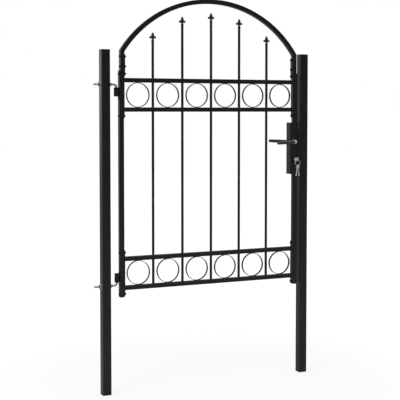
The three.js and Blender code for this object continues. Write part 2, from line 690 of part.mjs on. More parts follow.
function lockBox() {
  const x = [leafHalf - LOCK_BOX_WIDTH, leafHalf];
  const y = span(0, LOCK_BOX_DEPTH);
  const z = [lockBoxFoot, lockBoxTop];
  const inset = ([low, high]) => [low + LOCK_BOX_WALL, high - LOCK_BOX_WALL];
  const through = span(0, LOCK_BOX_DEPTH + 2 * CUT_OVER);
  const axis = lockAxis - leafCentre;
  const boltSlot = (thickness, height, middle) =>
    block([leafHalf - LOCK_BOX_WALL - CUT_OVER, leafHalf + CUT_OVER],
      span(0, thickness + 2 * GAP), span(middle, height + 2 * GAP));
  return cut(
    block(x, y, z),
    block(inset(x), inset(y), inset(z)),
    boltSlot(LATCH_THICKNESS, LATCH_HEIGHT, latchMiddle),
    boltSlot(DEAD_BOLT_THICKNESS, DEAD_BOLT_HEIGHT, deadBoltMiddle),
    rod(SPINDLE_HOLE / 2, "y", through, [axis, spindleHeight]),
    extrude(cylinderOutline(GAP), "y", through, 16).translate(axis, 0, cylinderHeight),
  );
}

function lockCylinder() {
  const body = extrude(cylinderOutline(0), "y", span(0, CYLINDER_LENGTH), 16);
  const bore = rod(PLUG_DIAMETER / 2 + GAP, "y", [plugFace - CUT_OVER, plugFace + PLUG_LENGTH + GAP],
    [0, 0], 24);
  return cut(body, bore).translate(lockAxis - leafCentre, 0, cylinderHeight);
}

function plug() {
  const body = rod(PLUG_DIAMETER / 2, "y", [plugFace, plugFace + PLUG_LENGTH], [0, 0], 24);
  const keyway = block(span(0, KEY_THICKNESS + 2 * GAP),
    [plugFace - CUT_OVER, keyHoleY + KEY_LENGTH + GAP], span(0, KEY_BLADE + 2 * GAP));
  return cut(body, keyway).translate(lockAxis, 0, cylinderHeight);
}

// A flat key with its hanging hole at the origin and its blade along +Y, in the YZ plane.
function keyBlank() {
  const [halfLength, halfWidth] = [KEY_BOW_LENGTH / 2, KEY_BOW_WIDTH / 2];
  const bow = new THREE.Shape()
    .absellipse(keyBowMiddle, 0, halfLength, halfWidth, 0, 2 * Math.PI, false, 0);
  bow.holes.push(new THREE.Path().absarc(0, 0, KEY_HOLE / 2, 0, 2 * Math.PI, true));
  const half = KEY_BLADE / 2;
  const notch = half / 2;
  const inBow = keyBowMiddle + halfLength / 2;
  const profile = [[inBow, -half], [KEY_LENGTH - half, -half], [KEY_LENGTH, 0]];
  for (let bite = 0; bite < KEY_BITES; bite++) {
    const peak = KEY_LENGTH - half / 2 - bite * KEY_BLADE;
    profile.push([peak, half], [peak - half, half - notch * (bite % 2 ? 1 : 0.6)]);
  }
  profile.push([KEY_LENGTH - KEY_BITES * KEY_BLADE, half], [inBow, half]);
  const blade = new THREE.Shape(profile.map(([y, z]) => new THREE.Vector2(y, z)));
  const thickness = span(0, KEY_THICKNESS);
  return join(extrude(bow, "x", thickness, 24), extrude(blade, "x", thickness));
}

// Two keys side by side on the ring, splayed and touching at their bows.
function spareKeys() {
  const hung = SIDES.map((side) => keyBlank().rotateX(-Math.PI / 2)
    .rotateY(-side * SPARE_KEY_SPLAY)
    .translate(side * KEY_THICKNESS / 2, 0, 0));
  return join(...hung).translate(lockAxis, keyHoleY, spareHole);
}

// A lever handle for the front of the gate: a round neck that bends into a flat oval grip.
function leverHandle() {
  const gripLine = -lockFace - LEVER_STANDOFF;
  const neckEnd = gripLine + LEVER_BEND;
  const [neckSide, neckUp] = [LEVER_NECK_TAPER * LEVER_NECK / 2, LEVER_NECK / 2];
  const [gripSide, gripUp] = [GRIP_THICKNESS / 2, GRIP_HEIGHT / 2];
  const sections = [
    { at: [0, -lockFace - GAP], angle: 0, size: [LEVER_NECK / 2, LEVER_NECK / 2] },
    { at: [0, neckEnd], angle: 0, size: [neckSide, neckUp] },
  ];
  for (let i = 1; i <= LEVER_BEND_STEPS; i++) {
    const share = i / LEVER_BEND_STEPS;
    const angle = (Math.PI / 2) * share;
    sections.push({
      at: [LEVER_BEND * (Math.cos(angle) - 1), neckEnd - LEVER_BEND * Math.sin(angle)],
      angle,
      size: [neckSide + (gripSide - neckSide) * share, neckUp + (gripUp - neckUp) * share],
    });
  }
  for (const [along, scale] of GRIP_END) {
    sections.push({
      at: [-LEVER_BEND - (LEVER_LENGTH - LEVER_BEND) * along, gripLine],
      angle: Math.PI / 2,
      size: [gripSide * scale, gripUp * scale],
      drop: LEVER_DROOP * along,
    });
  }
  return loft(sections.map(({ at: [x, y], angle, size: [side, up], drop = 0 }) =>
    Array.from({ length: LEVER_SEGMENTS }, (_, i) => {
      const turn = (2 * Math.PI * i) / LEVER_SEGMENTS;
      const across = side * Math.cos(turn);
      return new THREE.Vector3(
        x + across * Math.cos(angle), y - across * Math.sin(angle), up * Math.sin(turn) - drop,
      );
    })));
}

function spindleBar([low, high], size) {
  return block(span(0, size), [low, high], span(0, size)).rotateY(Math.PI / 4);
}

function frontLever() {
  const socketEnd = -lockFace - LEVER_STANDOFF / 2 - GAP;
  const socket = spindleBar([socketEnd, 0], SPINDLE_SQUARE + 2 * GAP);
  return cut(leverHandle(), socket).translate(lockAxis, 0, spindleHeight);
}

// The back lever is the front one turned over, made in one piece with the spindle.
function backLever() {
  const handle = leverHandle().rotateX(Math.PI);
  const spindle = spindleBar([-lockFace - LEVER_STANDOFF / 2, lockFace + 2 * GAP], SPINDLE_SQUARE);
  return join(handle, spindle).translate(lockAxis, 0, spindleHeight);
}

// The latch has its slope on the front, where the keep meets it as the leaf closes.
function latch() {
  const half = LATCH_THICKNESS / 2;
  const outline = new THREE.Shape([
    [-LATCH_TAIL, -half], [GAP, -half], [LATCH_THROW, half - KEEP_SHEET], [LATCH_THROW, half],
    [-LATCH_TAIL, half],
  ].map(([x, y]) => new THREE.Vector2(leafRight + x, y)));
  return extrude(outline, "z", span(latchMiddle, LATCH_HEIGHT));
}

function deadBolt() {
  return block([leafRight - DEAD_BOLT_LENGTH, leafRight], span(0, DEAD_BOLT_THICKNESS),
    span(deadBoltMiddle, DEAD_BOLT_HEIGHT));
}

// ---------------------------------------------------------------- assembly

function leaf() {
  const group = new THREE.Group();
  group.position.x = leafCentre;
  const stileRange = [LEAF_FOOT, STILE_TOP];
  const allBolts = [...lowerPanelBolts, ...upperPanelBolts];
  group.add(piece("hinge_stile", "powderCoat", stile(-1, stileRange, true, allBolts)));
  group.add(piece("lock_stile_upper", "powderCoat",
    stile(1, [lockBoxTop + GAP, STILE_TOP], false, upperPanelBolts)));
  group.add(piece("lock_stile_lower", "powderCoat",
    stile(1, [LEAF_FOOT, lockBoxFoot - GAP], true, lowerPanelBolts)));
  group.add(piece("arch", "powderCoat", arch()));
  group.add(piece("upper_panel_frame", "powderCoat",
    panelFrame(upperPanelTop, upperPanelBolts, true)));
  group.add(piece("lower_panel_frame", "powderCoat",
    panelFrame(lowerPanelTop, lowerPanelBolts, false)));

  for (const side of SIDES) {
    const sideName = side < 0 ? "hinge_side" : "lock_side";
    group.add(piece(`${sideName}_arch_strap`, "powderCoat", archStrap(side)));
    const bolts = [
      [lowerPanelBolts[0], leafHalf, stripInner],
      [lowerPanelBolts[1], leafHalf, stripInner],
      [upperPanelBolts[0], leafHalf, stripInner],
      [upperPanelBolts[1], leafHalf, strapInner],
      [archBolts[0], legOuter, strapInner],
      [archBolts[1], legOuter, strapInner],
    ];
    bolts.forEach(([height, outerFace, innerFace], i) => {
      const name = `${sideName}_bolt_${i + 1}`;
      group.add(piece(name, "blackZinc", frameBolt(side, height, outerFace, innerFace)));
    });
  }

  for (let i = 0; i < BAR_COUNT; i++) {
    group.add(piece(`bar_${i + 1}`, "powderCoat", bar(i)));
  }
  ringPositions().forEach((x, i) => {
    group.add(piece(`upper_ring_${i + 1}`, "powderCoat", ring(x, upperPanelTop)));
    group.add(piece(`lower_ring_${i + 1}`, "powderCoat", ring(x, lowerPanelTop)));
  });

  group.add(piece("upper_barrel", "powderCoat", barrel(upperHookHeight, -1)));
  group.add(piece("lower_barrel", "powderCoat", barrel(lowerHookHeight, 1)));
  group.add(piece("lock_box", "powderCoat", lockBox()));
  group.add(piece("lock_cylinder", "satinMetal", lockCylinder()));
  return group;
}

function lockWorks() {
  const group = new THREE.Group();
  group.add(piece("front_lever", "satinMetal", frontLever()));
  group.add(piece("back_lever", "satinMetal", backLever()));
  group.add(piece("latch_bolt", "satinMetal", latch()));
  group.add(piece("dead_bolt", "satinMetal", deadBolt()));
  group.add(piece("cylinder_plug", "satinMetal", plug()));
  group.add(piece("key", "satinMetal",
    keyBlank().translate(lockAxis, keyHoleY, cylinderHeight)));
  const wire = new THREE.TorusGeometry(KEY_RING_DIAMETER / 2, KEY_RING_WIRE / 2, 6, 24)
    .rotateX(Math.PI / 2);
  group.add(piece("key_ring", "satinMetal", wire.translate(lockAxis, keyHoleY, ringMiddle)));
  group.add(piece("spare_keys", "satinMetal", spareKeys()));
  return group;
}

const gate = new THREE.Group();
gate.add(posts(), leaf(), lockWorks());

// The origin is the middle of the base of the box round the whole gate.
const extent = new THREE.Box3().setFromObject(gate, true);
const middle = extent.getCenter(new THREE.Vector3());
gate.position.set(-middle.x, -middle.y, -extent.min.z);

export default gate;
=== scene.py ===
"""Looks of the arched garden gate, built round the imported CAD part. Metres, row frame."""

import json
import math

import bmesh
import bpy
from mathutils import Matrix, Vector, noise


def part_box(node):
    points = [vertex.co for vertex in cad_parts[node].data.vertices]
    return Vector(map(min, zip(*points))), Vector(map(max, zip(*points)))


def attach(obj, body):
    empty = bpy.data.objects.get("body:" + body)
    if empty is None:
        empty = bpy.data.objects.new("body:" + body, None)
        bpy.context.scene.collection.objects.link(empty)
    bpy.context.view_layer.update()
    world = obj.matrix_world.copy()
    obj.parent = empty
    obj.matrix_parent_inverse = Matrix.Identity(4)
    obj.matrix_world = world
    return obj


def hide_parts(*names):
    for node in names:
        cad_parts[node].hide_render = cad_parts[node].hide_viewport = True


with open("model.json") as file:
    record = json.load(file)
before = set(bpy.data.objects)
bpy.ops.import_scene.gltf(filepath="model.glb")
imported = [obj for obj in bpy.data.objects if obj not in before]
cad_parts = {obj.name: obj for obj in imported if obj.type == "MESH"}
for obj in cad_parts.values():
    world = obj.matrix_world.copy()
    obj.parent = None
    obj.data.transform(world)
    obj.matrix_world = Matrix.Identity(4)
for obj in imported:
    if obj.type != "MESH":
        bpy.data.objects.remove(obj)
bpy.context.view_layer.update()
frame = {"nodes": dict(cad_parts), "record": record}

MM = 0.001
CREASE = math.radians(38)  # facets that meet at less than this shade as one curve
SAME_PLACE = 0.01 * MM  # corners as close as this are one point of a surface
BAR_COUNT = 5
RINGS_PER_PANEL = 6
BOLTS_PER_SIDE = 6


def corners(node):
    """The low and the high corner of a CAD node's box."""
    return [Vector(corner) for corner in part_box(node)]


# ---------------------------------------------------------------- materials


class Shader:
    """A Principled material with short ways to add the nodes that drive it."""

    def __init__(self, name, metallic=0.0):
        self.material = bpy.data.materials.new(name)
        self.material.use_nodes = True
        self.tree = self.material.node_tree
        self.surface = self.tree.nodes["Principled BSDF"]
        self.surface.inputs["Metallic"].default_value = metallic
        self.place = self.tree.nodes.new("ShaderNodeTexCoord").outputs["Object"]

    def noise(self, size, detail=3.0, stretch=(1, 1, 1)):
        """Noise with features of about `size` metres."""
        mapping = self.tree.nodes.new("ShaderNodeMapping")
        mapping.inputs["Scale"].default_value = stretch
        self.tree.links.new(self.place, mapping.inputs["Vector"])
        texture = self.tree.nodes.new("ShaderNodeTexNoise")
        texture.inputs["Scale"].default_value = 1 / size
        texture.inputs["Detail"].default_value = detail
        self.tree.links.new(mapping.outputs["Vector"], texture.inputs["Vector"])
        return texture.outputs["Fac"]

    def cells(self, size):
        """A random value for each cell of about `size` metres."""
        texture = self.tree.nodes.new("ShaderNodeTexVoronoi")
        texture.inputs["Scale"].default_value = 1 / size
        self.tree.links.new(self.place, texture.inputs["Vector"])
        return texture.outputs["Color"]

    def ramp(self, factor, low, high, start=0.3, end=0.7):
        """Goes from `low` to `high` as the factor goes from `start` to `end`."""
        ramp = self.tree.nodes.new("ShaderNodeValToRGB")
        for element, position, value in zip(ramp.color_ramp.elements, (start, end), (low, high)):
            element.position = position
            element.color = (*value, 1) if isinstance(value, tuple) else (value, value, value, 1)
        self.tree.links.new(factor, ramp.inputs["Fac"])
        return ramp.outputs["Color"]

    def drive(self, socket, source):
        """Lets an output set one of the surface's inputs."""
        self.tree.links.new(source, self.surface.inputs[socket])

    def bump(self, *layers):
        """Each layer is (height, depth in metres)."""
        normal = None
        for height, depth in layers:
            bump = self.tree.nodes.new("ShaderNodeBump")
            bump.inputs["Distance"].default_value = depth
            self.tree.links.new(height, bump.inputs["Height"])
            if normal is not None:
                self.tree.links.new(normal, bump.inputs["Normal"])
            normal = bump.outputs["Normal"]
        self.drive("Normal", normal)


def powder_coat():
    """Black powder coat with a fine orange peel."""
    shader = Shader("powder_coat")
    shader.drive("Base Color", shader.ramp(shader.noise(90 * MM), (0.0028, 0.0028, 0.003),
                                           (0.006, 0.006, 0.0063)))
    shader.drive("Roughness", shader.ramp(shader.noise(30 * MM), 0.22, 0.32))
    shader.bump((shader.noise(1.6 * MM, 2.0), 0.06 * MM), (shader.noise(7 * MM, 1.0), 0.12 * MM))
    return shader.material


def weld_coat():
    """The same coat over a bead of weld, where it lies duller."""
    shader = Shader("coated_weld")
    shader.drive("Base Color", shader.ramp(shader.noise(10 * MM), (0.0028, 0.0028, 0.003),
                                           (0.007, 0.007, 0.0073)))
    shader.drive("Roughness", shader.ramp(shader.noise(4 * MM), 0.34, 0.5))
    shader.bump((shader.noise(1.2 * MM), 0.2 * MM))
    return shader.material


def moulded_plastic():
    """Matt black plastic of the post caps."""
    shader = Shader("moulded_plastic")
    shader.drive("Base Color", shader.ramp(shader.noise(20 * MM), (0.004, 0.004, 0.0045),
                                           (0.009, 0.009, 0.009)))
    shader.drive("Roughness", shader.ramp(shader.noise(6 * MM), 0.45, 0.6))
    shader.bump((shader.noise(0.6 * MM, 2.0), 0.08 * MM))
    return shader.material


def zinc_plating():
    """Bright zinc with a faint spangle."""
    shader = Shader("zinc_plating", metallic=1.0)
    shader.drive("Base Color", shader.ramp(shader.cells(4 * MM), (0.34, 0.345, 0.36),
                                           (0.56, 0.56, 0.565), 0.1, 0.9))
    shader.drive("Roughness", shader.ramp(shader.noise(2 * MM), 0.26, 0.45))
    shader.bump((shader.noise(1.2 * MM), 0.05 * MM))
    return shader.material


def black_zinc():
    """Blackened zinc of the leaf's bolts and nuts."""
    shader = Shader("black_zinc", metallic=0.6)
    shader.drive("Base Color", shader.ramp(shader.noise(3 * MM), (0.006, 0.006, 0.0065),
                                           (0.018, 0.018, 0.019)))
    shader.drive("Roughness", shader.ramp(shader.noise(1.5 * MM), 0.3, 0.45))
    shader.bump((shader.noise(0.9 * MM), 0.05 * MM))
    return shader.material


def lever_coat():
    """The levers' smooth black coat, glossier than the gate's."""
    shader = Shader("lever_coat")
    shader.surface.inputs["IOR"].default_value = 1.7
    shader.surface.inputs["Coat Weight"].default_value = 0.2
    shader.drive("Base Color", shader.ramp(shader.noise(20 * MM), (0.003, 0.003, 0.0033),
                                           (0.008, 0.008, 0.0085)))
    shader.drive("Roughness", shader.ramp(shader.noise(5 * MM), 0.14, 0.22))
    shader.bump((shader.noise(2 * MM, 2.0), 0.02 * MM))
    return shader.material


def nickel(name, low, high, metallic=0.85):
    """Brushed nickel whose tone goes from `low` to `high`, with slightly less blue."""
    less_blue = 0.005
    shader = Shader(name, metallic=metallic)
    shader.drive("Base Color", shader.ramp(shader.noise(12 * MM), (low, low, low - less_blue),
                                           (high, high, high - less_blue)))
    grain = shader.noise(4 * MM, 4.0, stretch=(1, 14, 14))
    shader.drive("Roughness", shader.ramp(grain, 0.24, 0.4))
    shader.bump((grain, 0.04 * MM))
    return shader.material


WELD = weld_coat()
# a nickel of lower tone than the keys' satin nickel, used on the lock cylinder
DARKER_NICKEL = nickel("darker_nickel", 0.2, 0.34, 1.0)
FINISHES = {
    "black_powder_coat": powder_coat(),
    "post_cap_plastic": moulded_plastic(),
    "zinc_plating": zinc_plating(),
    "black_zinc": black_zinc(),
    "lever_coat": lever_coat(),
    "satin_nickel": nickel("satin_nickel", 0.78, 0.92),
}


def round_shading(mesh):
    """Facets closer than the crease angle shade as one curve; large flat faces stay flat."""
    places = [tuple(round(value / SAME_PLACE) for value in vertex.co) for vertex in mesh.vertices]
    facets = [(face.normal.copy(), face.area) for face in mesh.polygons]
    around = {}
    for face in mesh.polygons:
        for corner in face.vertices:
            around.setdefault(places[corner], []).append(facets[face.index])
    limit = math.cos(CREASE)
    normals = []
    for face in mesh.polygons:
        for corner in face.vertices:
            near = (normal * area for normal, area in around[places[corner]]
                    if normal.dot(face.normal) > limit)
            normals.append(sum(near, Vector()).normalized())
    mesh.normals_split_custom_set(normals)


def finish_nodes():
    """Each CAD node gets the finish of its slot, but the lock cylinder gets a darker nickel than the
    keys.
    """
    slots = {part["node"]: part["material_slot"] for part in frame["record"]["subparts"]}
    for name, node in frame["nodes"].items():
        finish = DARKER_NICKEL if name == "lock_cylinder" else FINISHES[slots[name]]
        node.data.materials.clear()
        node.data.materials.append(finish)
        round_shading(node.data)


BARE_NECK = 22 * MM  # length of bare metal at the neck's end of a lever


def bright_hub(name):
    """The neck of a lever is bare metal up to where the dark grip starts."""
    grip_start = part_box(name)[1][0] - BARE_NECK
    node = frame["nodes"][name]
    node.data.materials.append(FINISHES["satin_nickel"])
    for face in node.data.polygons:
        if (node.matrix_world @ face.center).x > grip_start:
            face.material_index = 1


# ---------------------------------------------------------------- added and finer pieces


def add_piece(name, mesh_builder, slot, body, material=None):
    """A new piece in the row frame that rides on a CAD body."""
    mesh = bpy.data.meshes.new(name)
    mesh_builder.normal_update()
    mesh_builder.to_mesh(mesh)
    mesh_builder.free()
    mesh.materials.append(material or FINISHES[slot])
    mesh.shade_smooth()
    mesh.set_sharp_from_angle(angle=CREASE)
    piece = bpy.data.objects.new(name, mesh)
    bpy.context.collection.objects.link(piece)
    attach(piece, body)
    return piece


def skin(builder, rings, closed=False):
    """Joins rings of points into a tube, capped at both ends unless it is closed on itself."""
    rows = [[builder.verts.new(point) for point in ring] for ring in rings]
    pairs = list(zip(rows, rows[1:])) + ([(rows[-1], rows[0])] if closed else [])
    for near, far in pairs:
        for i in range(len(near)):
            j = (i + 1) % len(near)
            builder.faces.new((near[i], near[j], far[j], far[i]))
    if not closed:
        builder.faces.new(reversed(rows[0]))
        builder.faces.new(rows[-1])


def circle(centre, first, second, radius, count):
    """Points of a circle in the plane of two directions."""
    return [centre + (first * math.cos(2 * math.pi * i / count)
                      + second * math.sin(2 * math.pi * i / count)) * radius
            for i in range(count)]


def turned(builder, start, axis, profile, count=24):
    """A turned piece: the profile is (distance along the axis from start, radius) in millimetres."""
    axis = axis.normalized()
    first = axis.orthogonal().normalized()
    second = axis.cross(first)
    skin(builder, [circle(start + axis * (along * MM), first, second, radius * MM, count)
                   for along, radius in profile])


HOOK_SIDES = 20
HOOK_CHAMFER = 1.2 * MM
HOOK_BEND = 14 * MM  # radius of the middle line where a hook bends
HOOK_BEND_STEPS = 8
THREAD_PITCH = 1.5 * MM
THREAD_DEPTH = 0.85 * MM
THREAD_STEPS = 6  # rings of points in each turn
THREAD_RUN_OUT = 2  # turns over which the thread fades into the plain bar
THREAD_PAST_NUT = 6 * MM


def thread_rings(start, length, radius):
    """Rings of points along X that follow a rolled thread, chamfered where it starts."""
    side, rise = Vector((0, 1, 0)), Vector((0, 0, 1))
    rings = []
    steps = int(length / THREAD_PITCH * THREAD_STEPS)
    for step in range(steps + 1):
        turns = step / THREAD_STEPS
        along = turns * THREAD_PITCH
        fade = min(1.0, (steps - step) / (THREAD_RUN_OUT * THREAD_STEPS))
        centre = start + Vector((along, 0, 0))
        ring = []
        for i in range(HOOK_SIDES):
            angle = 2 * math.pi * i / HOOK_SIDES
            wave = abs(((turns + i / HOOK_SIDES) % 1.0) * 2 - 1)
            size = min(radius - THREAD_DEPTH * wave * fade, radius + along - HOOK_CHAMFER)
            ring.append(centre + (side * math.cos(angle) + rise * math.sin(angle)) * size)
        rings.append(ring)
    return rings


def bend_rings(start, up, radius):
    """Rings of points where the bolt bends from X to up (1) or down (-1)."""
    rings = []
    for i in range(HOOK_BEND_STEPS + 1):
        angle = math.pi / 2 * i / HOOK_BEND_STEPS
        centre = start + Vector((math.sin(angle), 0, up * (1 - math.cos(angle)))) * HOOK_BEND
        across = Vector((-up * math.sin(angle), 0, math.cos(angle)))
        rings.append(circle(centre, Vector((0, 1, 0)), across, radius, HOOK_SIDES))
    return rings


def threaded_hook_bolt(name, hook_up):
    """A hook bolt with a rolled thread from its free end to just past its inner nut."""
    low, high = corners(name)
    up = 1 if hook_up else -1
    radius = (high.y - low.y) / 2
    pin_x = high.x - radius
    pin_end = high.z if hook_up else low.z
    start = Vector((low.x, (high.y + low.y) / 2,
                    low.z + radius if hook_up else high.z - radius))
    thread_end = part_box(name.replace("hook_bolt", "inner_nut"))[1][0] + THREAD_PAST_NUT
    rings = thread_rings(start, thread_end - low.x, radius)
    rings += bend_rings(Vector((pin_x - HOOK_BEND, start.y, start.z)), up, radius)
    for z, size in ((pin_end - up * HOOK_CHAMFER, radius), (pin_end, radius - HOOK_CHAMFER)):
        centre = Vector((pin_x, start.y, z))
        rings.append(circle(centre, Vector((0, 1, 0)), Vector((-up, 0, 0)), size, HOOK_SIDES))
    builder = bmesh.new()
    skin(builder, rings)
    piece = add_piece(f"threaded_{name}", builder, "zinc_plating", "posts")
    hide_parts(name)


# Profiles of a leaf bolt in millimetres: (distance along, radius). The head's starts at its
# seat and the nut's two at its outer end.
CUP_HEAD = [(0, 5.4), (0.5, 5.5), (1.4, 5.2), (2.3, 4.3), (3.0, 2.9), (3.4, 1.4), (3.5, 0.3)]
NUT_DOME = [(0, 0.3), (0.15, 1.4), (0.8, 3.0), (1.9, 4.1), (3.1, 4.6)]
NUT_HEXAGON = [(2.9, 4.7), (3.5, 5.6), (8.0, 5.77)]
HEAD_HEIGHT = CUP_HEAD[-1][0] * MM
SHANK_RADIUS = 3  # millimetres, as in the profiles
SHANK_START = 7 * MM  # from the nut's outer end
SHANK_STOP = 2 * MM  # from the head's outer end


def frame_bolt(side, number):
    """A cup-head bolt with a domed nut, smoother than its CAD stand-in."""
    name = f"{side}_bolt_{number}"
    low, high = corners(name)
    outward = -1 if side == "hinge_side" else 1
    head_end, nut_end = (high.x, low.x) if outward > 0 else (low.x, high.x)
    middle = (low + high) / 2
    axis = Vector((outward, 0, 0))
    nut = Vector((nut_end, middle.y, middle.z))
    head_seat = Vector((head_end - outward * HEAD_HEIGHT, middle.y, middle.z))
    shank_length = (abs(head_end - nut_end) - SHANK_START - SHANK_STOP) / MM
    builder = bmesh.new()
    turned(builder, head_seat, axis, CUP_HEAD)
    turned(builder, nut + axis * SHANK_START, axis,
           [(0, SHANK_RADIUS), (shank_length, SHANK_RADIUS)], 16)
    turned(builder, nut, axis, NUT_DOME)
    turned(builder, nut, axis, NUT_HEXAGON, 6)
    piece = add_piece(f"fine_{name}", builder, "black_zinc", "leaf")
    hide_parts(name)


BEAD_SIDES = 7
BEAD_STEP = 1.1 * MM  # from one ring of points to the next
BEAD_RIPPLE = 0.16  # share of the radius by which every other ring is wider or narrower
BEAD_UNEVEN = 0.3  # share of the radius by which the width wanders
BEAD_WANDERS = 900  # how often it does so in a metre
BEAD_TAPER = 0.45  # share of the radius that is left at an open end


def weld_bead(builder, points, radius, closed=False, seed=0.0):
    """A bead of weld along a line, with the ripples and uneven width of hand welding."""
    rings = []
    for i, point in enumerate(points):
        before = points[i - 1] if i or closed else point
        after = points[(i + 1) % len(points)] if i + 1 < len(points) or closed else point
        way = (after - before).normalized()
        first = way.orthogonal().normalized()
        second = way.cross(first)
        uneven = BEAD_UNEVEN * noise.noise(point * BEAD_WANDERS + Vector((seed, 0, 0)))
        ripple = BEAD_RIPPLE * math.cos(i * math.pi)
        taper = BEAD_TAPER if not closed and i in (0, len(points) - 1) else 1.0
        size = radius * (1 + uneven + ripple) * taper
        rings.append(circle(point, first, second, size, BEAD_SIDES))
    skin(builder, rings, closed)


def line(start, end):
    """Points from start to end, a bead's step apart."""
    start, end = Vector(start), Vector(end)
    count = max(2, round((end - start).length / BEAD_STEP))
    return [start.lerp(end, i / count) for i in range(count + 1)]


RAIL_HEIGHT = 20 * MM
RING_CLEARANCE = 0.3 * MM  # between a ring and the rails above and below it
STRIP_THICKNESS = 3 * MM  # of the upright strips at a panel's ends
BAR_BEAD_RADIUS = 5.6 * MM  # of the line that a bead round a bar follows
BAR_BEAD_STEPS = 34


def bar_welds(builder, middle_y, levels):
    """A closed bead round every bar at each level where it meets a rail."""
    along, across = Vector((1, 0, 0)), Vector((0, 1, 0))
    for index in range(BAR_COUNT):
        low, high = corners(f"bar_{index + 1}")
        for level in levels:
            centre = Vector(((low.x + high.x) / 2, middle_y, level))
            around = circle(centre, along, across, BAR_BEAD_RADIUS, BAR_BEAD_STEPS)
            weld_bead(builder, around, radius=1.0 * MM, closed=True, seed=index + level)


def ring_welds(builder, panel, top, bottom):
    """Short beads on both sides of each ring where it touches the rails."""
    off_centre, off_rail, run, rise = 1.5 * MM, 0.6 * MM, 6.5 * MM, 0.15 * MM
    for number in range(1, RINGS_PER_PANEL + 1):
        low, high = corners(f"{panel}_ring_{number}")
        x = (low.x + high.x) / 2
        for z, inward in ((top, -1), (bottom, 1)):
            for y in (low.y, high.y):
                for reach in (-1, 1):
                    start = Vector((x + reach * off_centre, y, z + inward * off_rail))
                    end = start + Vector((reach * run, 0, inward * rise))
                    weld_bead(builder, line(start, end), radius=0.8 * MM, seed=number + z)


def strip_welds(builder, panel_low, panel_high, rail_bottom):
    """Beads round a rail where it meets the strips at its ends."""
    rail_top = rail_bottom + RAIL_HEIGHT
    inset_y, inset_z, radius = 1.5 * MM, 2 * MM, 0.9 * MM
    y_low, y_high = panel_low.y + inset_y, panel_high.y - inset_y
    z_low, z_high = rail_bottom + inset_z, rail_top - inset_z
    for x in (panel_low.x + STRIP_THICKNESS, panel_high.x - STRIP_THICKNESS):
        for y in (panel_low.y, panel_high.y):
            weld_bead(builder, line((x, y, z_low), (x, y, z_high)), radius, seed=z_low + x)
        for z in (rail_bottom, rail_top):
            weld_bead(builder, line((x, y_low, z), (x, y_high, z)), radius, seed=z + x)


def barrel_welds(builder):
    """Two upright beads between each hinge barrel and the stile."""
    off_stile, off_middle, inset = 0.3 * MM, 3.5 * MM, 1 * MM
    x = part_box("hinge_stile")[0][0] - off_stile
    for name in ("upper_barrel", "lower_barrel"):
        low, high = corners(name)
        middle = (low.y + high.y) / 2
        for y in (middle - off_middle, middle + off_middle):
            upright = line((x, y, low.z + inset), (x, y, high.z - inset))
            weld_bead(builder, upright, radius=1.1 * MM, seed=y)


def lock_box_welds(builder):
    """Beads on three sides of the lock stile above and below the lock box."""
    box_low, box_high = corners("lock_box")
    inset, radius = 2 * MM, 1.2 * MM
    for name, z in (("lock_stile_upper", box_high.z), ("lock_stile_lower", box_low.z)):
        low, high = corners(name)
        for y in (low.y, high.y):
            across = line((low.x + inset, y, z), (high.x - inset, y, z))
            weld_bead(builder, across, radius, seed=z + y)
        inner_side = line((low.x, low.y + inset, z), (low.x, high.y - inset, z))
        weld_bead(builder, inner_side, radius, seed=z)


def leaf_welds():
    """Beads where bars, rings, rails, strips, barrels and lock box are joined."""
    builder = bmesh.new()
    for panel in ("upper", "lower"):
        low, high = corners(f"{panel}_panel_frame")
        ring_low, ring_high = corners(f"{panel}_ring_1")
        top, bottom = ring_high.z + RING_CLEARANCE, ring_low.z - RING_CLEARANCE
        levels = [top + RAIL_HEIGHT, top, bottom]
        if panel == "upper":  # the bars end inside the lowest rail of the lower panel
            levels.append(bottom - RAIL_HEIGHT)
        bar_welds(builder, (low.y + high.y) / 2, levels)
        ring_welds(builder, panel, top, bottom)
        strip_welds(builder, low, high, top)
        strip_welds(builder, low, high, bottom - RAIL_HEIGHT)
    barrel_welds(builder)
    lock_box_welds(builder)
    add_piece("leaf_welds", builder, "black_powder_coat", "leaf", WELD)


def keep_welds():
    """Short runs of weld that hold the keep's flanges to the lock post."""
    builder = bmesh.new()
    low, high = corners("keep")
    from_end, half_run, sheet, off_sheet = 14 * MM, 9 * MM, 2 * MM, 0.4 * MM
    for middle in (low.z + from_end, (low.z + high.z) / 2, high.z - from_end):
        for y in (low.y + sheet + off_sheet, high.y):
            run = line((high.x, y, middle - half_run), (high.x, y, middle + half_run))
            weld_bead(builder, run, radius=1.1 * MM, seed=middle)
    add_piece("keep_welds", builder, "black_powder_coat", "posts", WELD)


NECK_RADIUS = 8.5 * MM
COLLAR_CLEARANCE = 0.4 * MM  # between a collar and the lock box
# Profile of a collar in millimetres: (distance out from its seat, radius).
COLLAR = [(0, 10.0), (1.2, 10.4), (2.0, 10.2), (2.2, 9.3), (7.0, 9.1), (7.6, 8.7)]


def lever_collar(name, outward):
    """The bright sleeve round a lever's neck where it leaves the lock box."""
    low, high = corners(name)
    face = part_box("lock_box")[0 if outward < 0 else 1][1]
    neck_z = high.z - NECK_RADIUS if outward < 0 else low.z + NECK_RADIUS
    start = Vector((high.x - NECK_RADIUS, face + outward * COLLAR_CLEARANCE, neck_z))
    builder = bmesh.new()
    turned(builder, start, Vector((0, outward, 0)), COLLAR, 36)
    add_piece(f"{name}_collar", builder, "satin_nickel", "levers")


# ---------------------------------------------------------------- studio


UP = (0, 0, 1)
ROOM, WALL, WINDOW, CEILING = 0.17, 0.35, 1.2, 2.6  # brightness of each in reflections
SCATTERED = 0.5  # brightness of the surroundings to matt surfaces
BACKDROP = 1.0  # and to the camera


